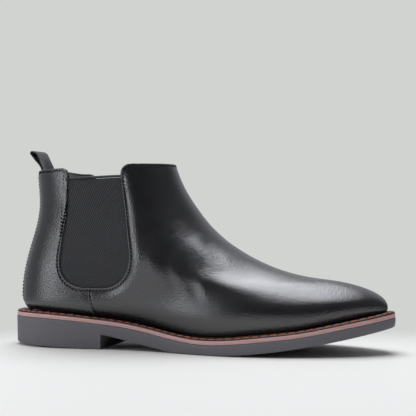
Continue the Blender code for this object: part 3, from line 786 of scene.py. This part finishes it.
# All in mm, but for the depths and the ribs' height: x of both edges at some z, and the top edge.
GORE_FOOT, GORE_TOP_REAR, GORE_TOP_FRONT = 42.6, (-103.0, 134.4), (-50.4, 136.6)
gore_rear = spline((GORE_FOOT, 60, 75, 90, 132.1), (-111.3, -111.2, -110.5, -108.8, -103))
gore_front = spline((GORE_FOOT, 65, 80, 95, 134.3), (-40.4, -40.7, -41.6, -43.6, -50.4))
ELASTIC, BINDING = (-1.75 * MM, -3.15 * MM), (-1.5 * MM, -3.4 * MM)
RIB_PITCH, RIB_HEIGHT, RIB_VALLEY = 2.0, 0.5 * MM, 0.6
RIB_LEAN, RIB_BEND, RIB_FAN, FAN_X, FAN_Z = 0.42, 0.0017, 0.003, -78, 134
BINDING_HEIGHT, BINDING_GAP = 2.0, 0.2


def gore_top(x):
    (rear_x, rear_z), (front_x, front_z) = GORE_TOP_REAR, GORE_TOP_FRONT
    return rear_z + (x - rear_x) * (front_z - rear_z) / (front_x - rear_x)


def gore_net(low, high, columns, rows):
    """Places over the gore between two lines z(x), and their x and z, all in mm."""
    across, up = np.meshgrid(np.linspace(0, 1, columns), np.linspace(0, 1, rows))
    x = mixed(gore_rear(GORE_FOOT), gore_front(GORE_FOOT), across)
    for _ in range(6):
        z = mixed(low(x), high(x), up)
        x = mixed(gore_rear(z), gore_front(z), across)
    angle, height = place_of(np.stack([x.ravel(), z.ravel()], -1))
    return np.stack([angle, height], -1).reshape(rows, columns, 2), x, z


elastic = Surface("elastic", (0.03, 0.031, 0.036), 0.75)
yarn = elastic.mottled(150.0, 1700.0, 2200.0)
# The valleys between the ribs are painted near black as painted shade, and the crests keep the yarn's
# tone.
rib = elastic.add("ShaderNodeAttribute", attribute_name="raised")
rib_shade_mask = elastic.ranged(rib.outputs["Fac"], -0.25, 0.2)
threads = elastic.blend((0.03, 0.031, 0.0355), (0.075, 0.077, 0.087), yarn.outputs["Fine"],
                        key=None)
elastic.blend((0.004, 0.004, 0.005), threads, rib_shade_mask)
elastic.bump(yarn.outputs["Pebbles"], 0.5, 0.2 * MM)
elastic.shader.inputs["Sheen Weight"].default_value = 0.1
elastic.shader.inputs["Sheen Roughness"].default_value = 0.5

binding = mottled_finish("binding", (0.022, 0.0225, 0.026), 0.6, (150, 2000, 2400),
                         "Fine", (0.014, 0.0145, 0.017), (0.03, 0.031, 0.035),
                         "Pebbles", 0.4, 0.15 * MM)

net, x, z = gore_net(lambda x: GORE_FOOT + 0 * x,
                     lambda x: gore_top(x) - BINDING_HEIGHT - BINDING_GAP, 250, 120)
lean = RIB_LEAN * z - RIB_BEND * np.clip(FAN_Z - z, 0, None) ** 2
lean -= RIB_FAN * (x - FAN_X) * (FAN_Z - z)
ribs = RIB_HEIGHT * (np.abs(np.sin(math.pi * (x - lean) / RIB_PITCH)) - RIB_VALLEY)
bound, _, _ = gore_net(lambda x: gore_top(x) - BINDING_HEIGHT, gore_top, 80, 9)
for side, node, gore, lift, edging in (
        ("outer", "lateral", net, ribs, bound),
        ("inner", "medial", mirrored(net), ribs[:, ::-1], mirrored(bound))):
    finish(wall_piece(f"elastic_gore_{side}", gore, ELASTIC, lift), elastic, "elastic",
           f"gore_{node}")
    finish(wall_piece(f"gore_edge_{side}", edging, BINDING, round_radius=0.9 * MM), binding,
           "webbing", f"gore_binding_{node}")

# Back strip -----------------------------------------------------------
# A narrow strip of the same leather over the back seam, from the welt to the topline. It lies on
# the quarters' outer faces and is sewn down along both edges.

STRIP_HALF_WIDTH, STRIP_LEVELS, STRIP = 5.0 * MM, 60, (1.3 * MM, 0.05 * MM)
across = STRIP_HALF_WIDTH * np.array(
    [-1, -0.97, -0.92, -0.8, -0.6, -0.3, 0, 0.3, 0.6, 0.8, 0.92, 0.97, 1])
levels = np.linspace(34, 139.9, STRIP_LEVELS) * MM
strip_heights = height_on(np.full(STRIP_LEVELS, 1e-3), lambda x: levels)
strip_full = (ring_fullness(np.full(STRIP_LEVELS, 1e-4)) * ring_share(strip_heights)).sum(-1)
strip_net = np.stack([np.arcsin(across[None] / strip_full[:, None]),
                      np.repeat(strip_heights[:, None], len(across), 1)], -1)
finish(wall_piece("back_strip_leather", strip_net, STRIP), leather, "black_leather", "back_strip")

# Closing stitches -----------------------------------------------------
# Fine black waxed thread, machine sewn 2 mm inside the edges: round the gores, along the topline,
# down the side seams and down both edges of the back strip.

black_thread = mottled_finish("black_thread", (0.01, 0.01, 0.011), 0.5, (400, 3000, 2500),
                              "Broad", (0.002, 0.002, 0.0022), (0.008, 0.008, 0.009),
                              "Fine", 0.4, 0.05 * MM)
black_thread.shader.inputs["Specular IOR Level"].default_value = 0.15

SEWN_PITCH, SEWN_LENGTH, SEWN_THREAD, SEWN_LEAN = 2.8 * MM, 2.1 * MM, 1.05 * MM, 0.45
SEWN_RISE, SEAM_INSET = 0.08 * MM, 2.0 * MM


def line_inside(net, away, lift, distance):
    """Points and normals of a net's surface at a distance from its last row, column by column."""
    places = []
    for j in range(net.shape[1]):
        near = away[::-1, j]
        i = int(np.argmax(near > distance))
        t = (distance - near[i - 1]) / (near[i] - near[i - 1]) if i else 0
        column, raised = net[::-1, j], lift[::-1, j]
        places.append([*mixed(column[i - 1], column[i], t), mixed(raised[i - 1], raised[i], t)])
    places = np.array(places)
    normals = form_normal(places[:, 0], places[:, 1])
    return form(places[:, 0], places[:, 1]) + normals * (places[:, 2:] + SEWN_RISE), normals


def sewn(name, line, normals, flip=1):
    """A row of closing stitches along a line, each leaning a little across it."""
    places, directions, share = even_places(line, SEWN_PITCH)
    shares = lengths_along(line)
    shares /= shares[-1]
    outward = np.stack([np.interp(share, shares, normals[:, k]) for k in range(3)], -1)
    row = stitch_row(name, places, directions, outward, SEWN_LENGTH, SEWN_THREAD,
                     lean=SEWN_LEAN * flip)
    finish(row, black_thread, "black_leather")


half = vamp_net.shape[1] // 2
sewn("vamp_edge_stitches", *line_inside(vamp_net, vamp_top, vamp_lift, STITCH_INSET))
for side, columns, step in (("outer", slice(0, half), 1), ("inner", slice(half, None), -1)):
    # The seam's column becomes the last row, which line_inside measures from.
    turned_net = vamp_net[:, columns][:, ::step].transpose(1, 0, 2)[::-1]
    turned_away, turned_lift = (values[:, columns][:, ::step].T[::-1]
                                for values in (vamp_seams, vamp_lift))
    line, normals = line_inside(turned_net, turned_away, turned_lift, SEAM_INSET)
    sewn(f"side_seam_stitches_{side}", line[4:-10], normals[4:-10])
for side, net, top, lift in quarter_rows:
    sewn(f"quarter_edge_stitches_{side}", *line_inside(net, top, lift, STITCH_INSET),
         flip=1 if side == "outer" else -1)
for side, column in (("outer", 3), ("inner", -4)):
    angles, heights = strip_net[2:-2, column].T
    normals = form_normal(angles, heights)
    on_strip = form(angles, heights) + normals * (STRIP[0] + 0.05 * MM)
    sewn(f"back_strip_stitches_{side}", on_strip, normals)

# Linings --------------------------------------------------------------
# Dark grey unfinished leather inside the vamp and the quarters. At the topline it comes up to meet
# the outer leather, and it stands off it at the back, where the pull loop is sewn between them.

lining = mottled_finish("lining_leather", (0.2, 0.2, 0.21), 0.75, (80, 1200, 1600),
                        "Fine", (0.075, 0.075, 0.08), (0.15, 0.15, 0.158),
                        "Pebbles", 0.3, 0.15 * MM)

LINING, LINING_RISE, RISE_REACH, LINING_TOP_Z = (-3.5 * MM, -4.4 * MM), 1.95 * MM, 7 * MM, 139.2 * MM
LOOP_REAR_X, LOOP_CLEARANCE, CLEARANCE_FADE = -0.12, 11.5 * MM, 2 * MM
vamp_inside = ruled(vamp_foot_places, vamp_top_places, 50, 56)
quarter_inside = ruled(quarter_foot_places, quarter_top_places, 50, 44, near_end=True)
for name, net, node in (
        ("vamp_inside", np.concatenate([vamp_inside, mirrored(vamp_inside)[:, 1:]], 1), "vamp_lining"),
        ("quarter_inside_outer", quarter_inside, "quarter_lining"),
        ("quarter_inside_inner", on_inner_side(quarter_inside), "quarter_lining")):
    points = form(net[..., 0], net[..., 1])
    topline = points[-1][points[-1][:, 2] > LINING_TOP_Z]
    rise = LINING_RISE * (1 - smoothed(edge_distance(points, topline) / RISE_REACH))
    beside_loop = smoothed((np.abs(points[..., 1]) - LOOP_CLEARANCE) / CLEARANCE_FADE)
    rise *= np.where(points[..., 0] < LOOP_REAR_X, beside_loop, 1)
    inside = wall_piece(name, net, LINING, rise, round_radius=0.45 * MM)
    finish(inside, lining, "lining_leather", node)

# Insole ---------------------------------------------------------------
# The inside is finished with a thin leather sock over the insole board, and a crowned foam heel pad
# under a leather cover is glued on top of it.

FOOTBED, SOCK_INSET, FOOT_STATIONS = 2.95 * MM, 6.6 * MM, 60
SOCK_SECTION = [(8, 3.05), (0.3, 3.05), (0, 3.4), (0.1, 4.0), (0.6, 4.25), (8, 4.25)]
foot_loop, foot_inward = plan(lambda s: ring_fullness(s)[..., 0], back_line(0)[0], ridge_line(0)[0],
                              stations_along(FOOT_STATIONS))
sock = layer_of_sole("leather_sock", foot_loop + foot_inward * SOCK_INSET, foot_inward,
                     SOCK_SECTION, lambda x: midsole_top(x) + FOOTBED)
finish(sock, lining, "lining_leather", "sock_liner")

# The pad's section is (share of its plan, height over the footbed in mm) from below to its crown.
PAD_FRONT_X, PAD_INSET, PAD_GROWTH, PAD_SQUARENESS = -78 * MM, 8 * MM, 0.6 * MM, 14
PAD_SECTION = [(0, 4.6), (0.5, 4.6), (0.97, 4.6), (1, 4.9), (0.99, 5.6), (0.95, 6.2), (0.86, 6.7),
               (0.7, 7.0), (0.4, 7.2), (0, 7.2)]
along = stations_along(36)
pad_x = mixed(foot_loop[:, 0].min() + PAD_INSET, PAD_FRONT_X, along)
outer_side = foot_loop[:FOOT_STATIONS]
pad_half = np.clip(PAD_GROWTH - PAD_INSET - np.interp(pad_x, *outer_side.T), 0, None)
pad_half *= np.sqrt(1 - along ** PAD_SQUARENESS) * np.sqrt(1 - (1 - along) ** PAD_SQUARENESS)
pad_loop = np.concatenate([np.stack([pad_x, -pad_half], -1),
                           np.stack([pad_x, pad_half], -1)[-2:0:-1]])
middle = np.array([mixed(pad_x[0], pad_x[-1], 0.5), 0])
rings = []
for share, height in PAD_SECTION:
    ring = middle + (pad_loop - middle) * share
    rings.append(np.column_stack([ring, midsole_top(ring[:, 0]) + FOOTBED + height * MM]))
pad = ringed("heel_cushion", rings)
finish(pad, lining, "foam", "heel_pad")

# Pull loop ------------------------------------------------------------
# A black woven tape, 23 mm wide, doubled into a loop over the back seam. Its two legs go down
# between the quarters and the lining, and the loop leans back and turns at the topline.

TAPE_HALF_WIDTH, TAPE_THICKNESS = 11.5 * MM, 1.0 * MM
TAPE_CURVE, TAPE_FLAT_FROM, TAPE_FLATTENING = 3.2 * MM, 141 * MM, 12 * MM
TAPE_LINE = [(-131.9, 118), (-131.8, 126), (-132.1, 135), (-132.7, 141.2), (-134.3, 145.6),
             (-136.5, 149.4), (-138.6, 152.8), (-139.9, 154.9), (-139.4, 156.0), (-137.6, 156.1),
             (-135.6, 155.3), (-134.0, 153.4), (-132.9, 150.6), (-132.4, 147), (-131.9, 143.4),
             (-131.4, 139.6), (-130.9, 134), (-130.75, 126), (-130.9, 118)]
tape_line = by_length(TAPE_LINE)
marks = np.linspace(0, 1, 110)
tape = tape_line(marks)
tangent = tape_line(np.clip(marks + 1e-3, 0, 1)) - tape_line(np.clip(marks - 1e-3, 0, 1))
tangent /= np.linalg.norm(tangent, axis=1, keepdims=True)
side_of_tape = np.stack([-tangent[:, 1], tangent[:, 0]], -1)
across = np.array([-1, -0.99, -0.95, -0.8, -0.55, -0.28, 0, 0.28, 0.55, 0.8, 0.95, 0.99, 1])
faces_of_tape = np.sqrt(1 - np.abs(across) ** 24)
section = np.concatenate([np.stack([across, faces_of_tape], -1),
                          np.stack([across, -faces_of_tape], -1)[-2::-1]])
thickness = np.where((marks == 0) | (marks == 1), 0, TAPE_THICKNESS / 2)
tape_points = np.empty((len(marks), len(section), 3))
for k, (y_share, face) in enumerate(section):
    # Low down the tape follows the round back of the form, and it is flat at its fold.
    flat = smoothed((tape[:, 1] - TAPE_FLAT_FROM) / TAPE_FLATTENING)
    x, z = (tape + side_of_tape * (face * thickness)[:, None]).T
    tape_points[:, k] = np.stack([x + TAPE_CURVE * y_share ** 2 * (1 - flat),
                                  y_share * TAPE_HALF_WIDTH + 0 * x, z], -1)
loop = sheet_of("woven_pull_loop", tape_points)

webbing = Surface("webbing", (0.03, 0.03, 0.033), 0.7)
place = webbing.add("ShaderNodeTexCoord")
cords = webbing.add("ShaderNodeTexWave", bands_direction="Y")
cords.inputs["Scale"].default_value = 310.0
cords.inputs["Distortion"].default_value = 1.5
cords.inputs["Detail"].default_value = 1.0
webbing.join(place.outputs["Object"], cords, "Vector")
webbing.blend((0.008, 0.008, 0.009), (0.045, 0.045, 0.049), cords.outputs["Fac"])
webbing.bump(cords.outputs["Fac"], 0.6, 0.25 * MM)
webbing.shader.inputs["Sheen Weight"].default_value = 0.2
finish(loop, webbing, "webbing", "pull_loop", "pull_loop_anchor", body=None)
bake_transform(loop)

# Hidden layers --------------------------------------------------------
# Inside the sole and between the leathers: insole board, cork filler, steel shank and nails, toe
# puff and heel counter. They keep the shapes they have in the frame and take their finishes here.

fibreboard = mottled_finish("fibreboard", (0.35, 0.22, 0.12), 0.85, (90, 700, 900),
                            "Fine", (0.25, 0.15, 0.08), (0.42, 0.28, 0.16),
                            "Fine", 0.4, 0.2 * MM)
cork = mottled_finish("cork", (0.4, 0.25, 0.13), 0.9, (200, 500, 450),
                      "Pebbles", (0.2, 0.1, 0.045), (0.5, 0.32, 0.17),
                      "Pebbles", 0.5, 0.4 * MM)
steel = mottled_finish("steel", (0.5, 0.5, 0.52), 0.35, (60, 900, 900),
                       "Broad", (0.42, 0.42, 0.44), (0.58, 0.58, 0.6),
                       "Fine", 0.1, 0.05 * MM, metallic=1.0)
NAILS = [f"heel_nail_{n}" for n in range(1, 6)]
for surface, nodes in ((fibreboard, ("insole_board", "toe_puff", "heel_counter")),
                       (cork, ("cork_filler",)), (steel, ("shank", *NAILS))):
    for node in nodes:
        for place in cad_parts[node].material_slots:
            place.material = surface.material

# Camera, floor and light ----------------------------------------------
# A boot on a pale table in a studio: a soft box overhead, a tall strip at the front on the left, and
# a soft glow behind and to the left. The camera looks level, from the toe's side of square on.

AZIMUTH, DISTANCE, EYE_HEIGHT, LENS, TO_RIGHT = math.radians(15.92), 0.95, 0.11025, 104.04, 0.00684
WALL_COLOUR, TABLE_COLOUR = (0.631, 0.651, 0.633), (0.69, 0.682, 0.65)
LIGHT_COLOUR = (0.935, 0.95, 1.0)
camera = bpy.data.objects.new("camera", bpy.data.cameras.new("camera"))
bpy.context.collection.objects.link(camera)
camera.data.lens = LENS
camera.location = (DISTANCE * math.sin(AZIMUTH) + TO_RIGHT * math.cos(AZIMUTH),
                   -DISTANCE * math.cos(AZIMUTH) + TO_RIGHT * math.sin(AZIMUTH), EYE_HEIGHT)
camera.rotation_euler = (math.pi / 2, 0, AZIMUTH)
bpy.context.scene.camera = camera
bpy.context.scene.view_settings.view_transform = "Standard"

# The table fades out round a point towards the camera, so that it has no far edge.
FADE_CENTRE, FADE_START, FADE_END = 0.6, 0.6, 0.78
bpy.ops.object.select_all(action="DESELECT")
bpy.ops.mesh.primitive_grid_add(x_subdivisions=4, y_subdivisions=4, size=6)
floor = bpy.context.object
floor.name = "floor"
table = Surface("table", TABLE_COLOUR, 0.6)
table.shader.inputs["Specular IOR Level"].default_value = 0.3
place = table.add("ShaderNodeTexCoord")
centre = table.add("ShaderNodeMapping")
centre.inputs["Location"].default_value = (
    -FADE_CENTRE * math.sin(AZIMUTH), FADE_CENTRE * math.cos(AZIMUTH), 0)
away = table.add("ShaderNodeVectorMath", operation="LENGTH")
table.join(place.outputs["Object"], centre, "Vector")
table.join(centre.outputs["Vector"], away, 0)
fade = table.ranged(away.outputs["Value"], FADE_START, FADE_END, 1.0, 0.0,
                    interpolation_type="SMOOTHSTEP")
table.join(fade, table.shader, "Alpha")
floor.data.materials.append(table.material)

# The camera sees one plain colour round the table. The boot is lit by glows added up on a low
# level all round, each from a direction: where it starts, where it is full, and how strong.
AMBIENT = 0.05
GLOWS = [((0, 0.8, 0.6), 0.62, 0.95, 0.5), ((1, 0, 0), -0.1, -0.7, 0.3),
         ((1, 0, 0), 0.5, 1.0, 0.12), ((0, 0, 1), 0.2, 1.0, 0.1)]
world = bpy.data.worlds.new("studio")
bpy.context.scene.world = world
world.use_nodes = True
tree = world.node_tree
seen, around = tree.nodes["Background"], tree.nodes.new("ShaderNodeBackground")
seen.inputs["Color"].default_value = (*WALL_COLOUR, 1)
around.inputs["Color"].default_value = (*LIGHT_COLOUR, 1)
direction = tree.nodes.new("ShaderNodeTexCoord")
strength = None
for towards, start, full, amount in GLOWS:
    slope, glow, total = (tree.nodes.new(f"ShaderNode{kind}")
                          for kind in ("VectorMath", "MapRange", "Math"))
    slope.operation, glow.interpolation_type = "DOT_PRODUCT", "SMOOTHSTEP"
    slope.inputs[1].default_value = towards
    glow.inputs["From Min"].default_value, glow.inputs["From Max"].default_value = start, full
    glow.inputs["To Min"].default_value, glow.inputs["To Max"].default_value = 0, amount
    total.inputs[1].default_value = AMBIENT
    tree.links.new(direction.outputs["Generated"], slope.inputs[0])
    tree.links.new(slope.outputs["Value"], glow.inputs["Value"])
    tree.links.new(glow.outputs["Result"], total.inputs[0])
    if strength:
        tree.links.new(strength, total.inputs[1])
    strength = total.outputs[0]
tree.links.new(strength, around.inputs["Strength"])
rays, choice = tree.nodes.new("ShaderNodeLightPath"), tree.nodes.new("ShaderNodeMixShader")
tree.links.new(rays.outputs["Is Camera Ray"], choice.inputs[0])
tree.links.new(around.outputs[0], choice.inputs[1])
tree.links.new(seen.outputs[0], choice.inputs[2])
tree.links.new(choice.outputs[0], tree.nodes["World Output"].inputs["Surface"])

# Each lamp: its name, place, aim, width, height and watts.
LAMPS = [("overhead", (-0.1, 0.2, 1.4), (-0.05, 0.08, 0.0), 0.95, 1.5, 28),
         ("left_strip", (-1.1, -1.05, 0.2), (-0.05, 0.0, 0.08), 0.5, 0.85, 4.6)]
for name, place, aim, width, height, power in LAMPS:
    lamp = bpy.data.lights.new(name, "AREA")
    lamp.shape, lamp.size, lamp.size_y, lamp.energy = "RECTANGLE", width, height, power
    lamp.color = LIGHT_COLOUR
    holder = bpy.data.objects.new(name, lamp)
    bpy.context.collection.objects.link(holder)
    holder.location = place
    holder.rotation_euler = (Vector(aim) - Vector(place)).to_track_quat("-Z", "Y").to_euler()
    holder.visible_camera = False
